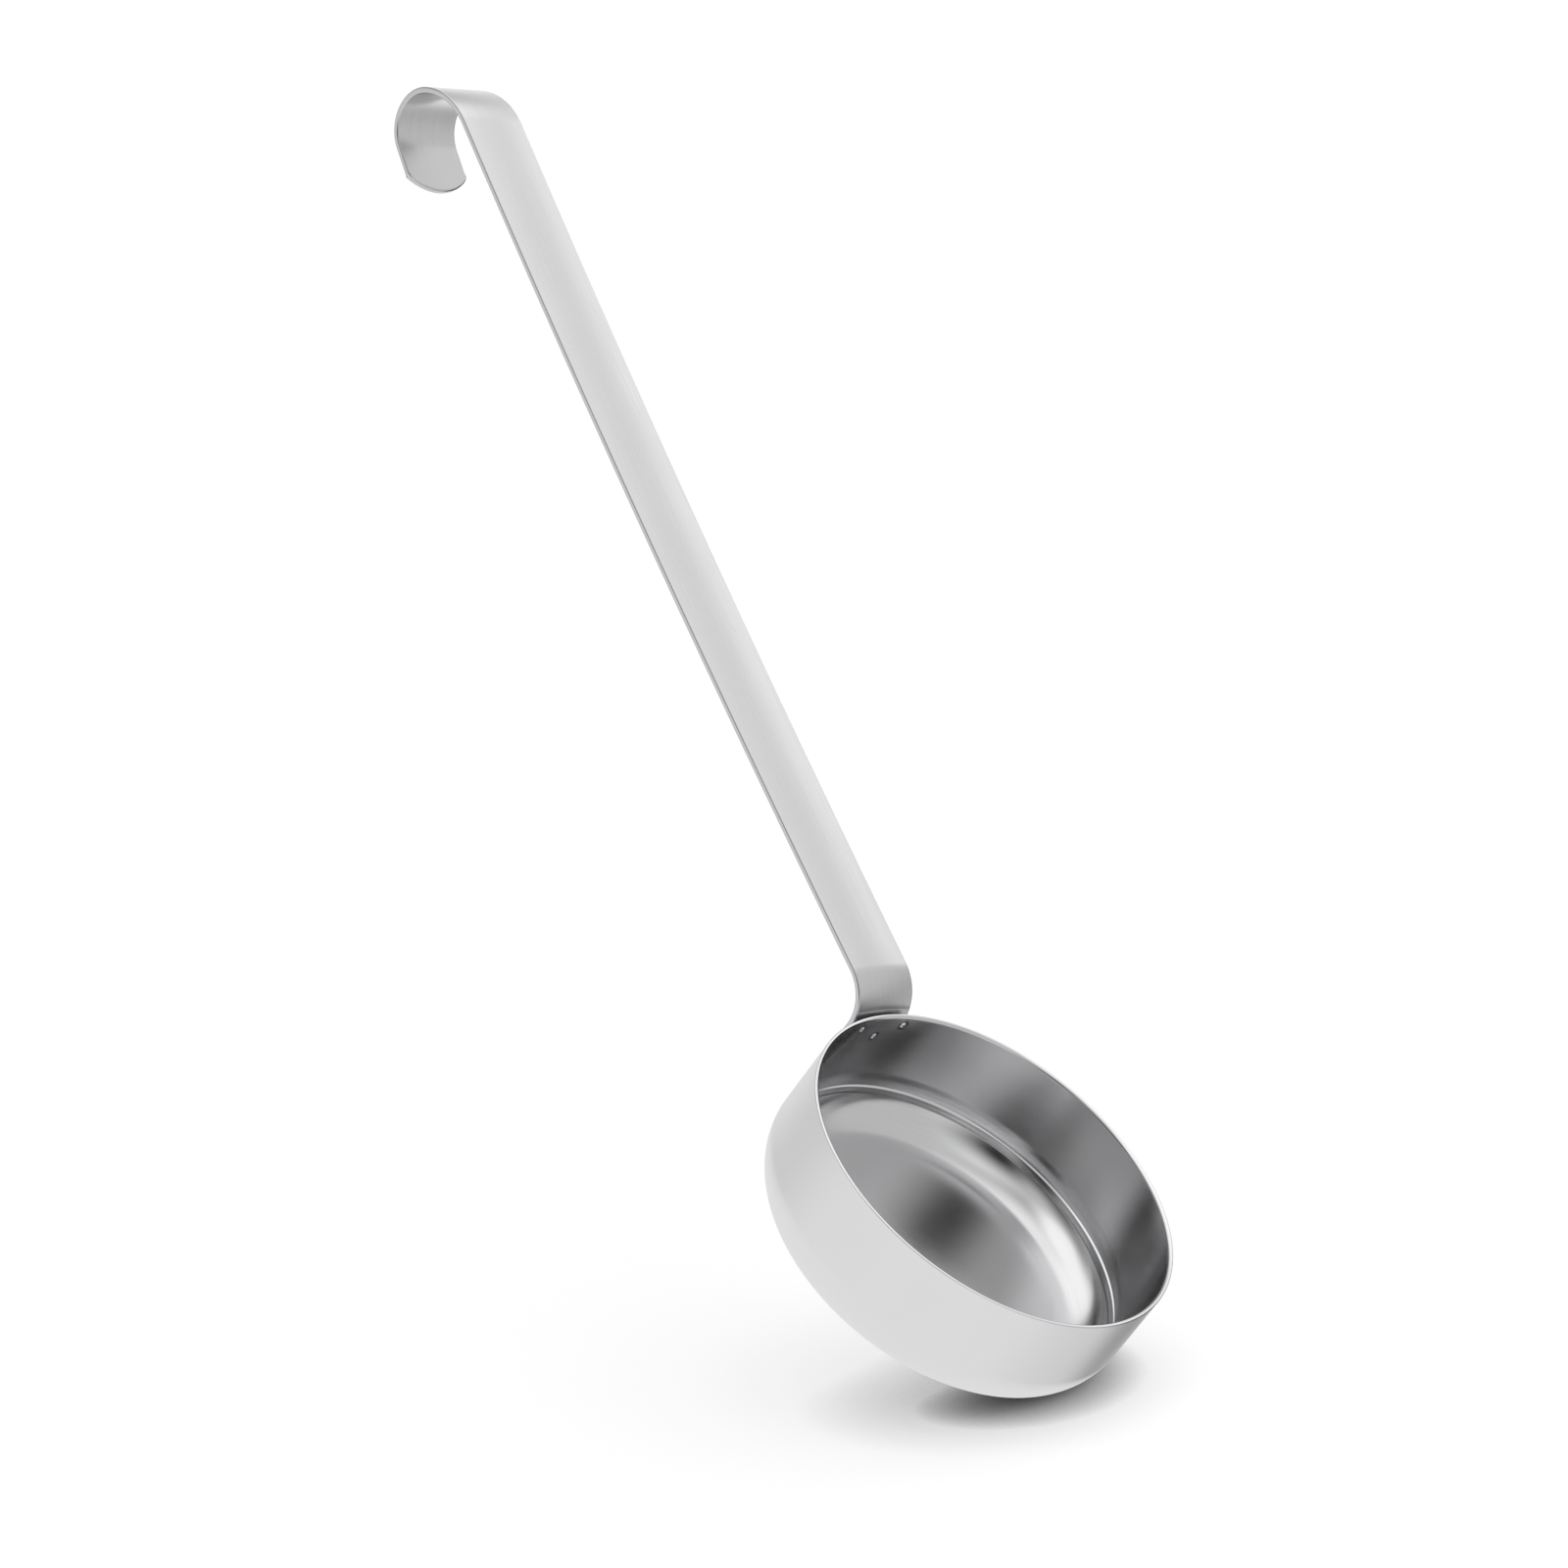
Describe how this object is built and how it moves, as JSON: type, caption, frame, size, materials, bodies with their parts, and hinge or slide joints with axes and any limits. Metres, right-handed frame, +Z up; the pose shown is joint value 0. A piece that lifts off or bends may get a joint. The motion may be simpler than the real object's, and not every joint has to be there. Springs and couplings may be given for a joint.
{
  "type": "sauce ladle",
  "caption": "Small shallow ladle with a straight-walled, flat-bottomed cup and a long bent strap handle that ends in a hanging hook.",
  "frame": {"origin": "middle of the cup's flat underside", "axes": "+Z up along the cup's axis, the handle leaves towards -X, Y runs across the strap"},
  "size_m": [0.2982, 0.08, 0.0815],
  "materials": {
    "drawn_sheet_steel": "satin, drawn sheet",
    "ground_bar_steel": "satin, fine grain along the strap",
    "weld_steel": "dull weld metal"
  },
  "bodies": {
    "root": {"cup": "drawn_sheet_steel", "handle_strap": "ground_bar_steel", "spot_weld_near": "weld_steel", "spot_weld_middle": "weld_steel", "spot_weld_far": "weld_steel"}
  },
  "joints": []
}
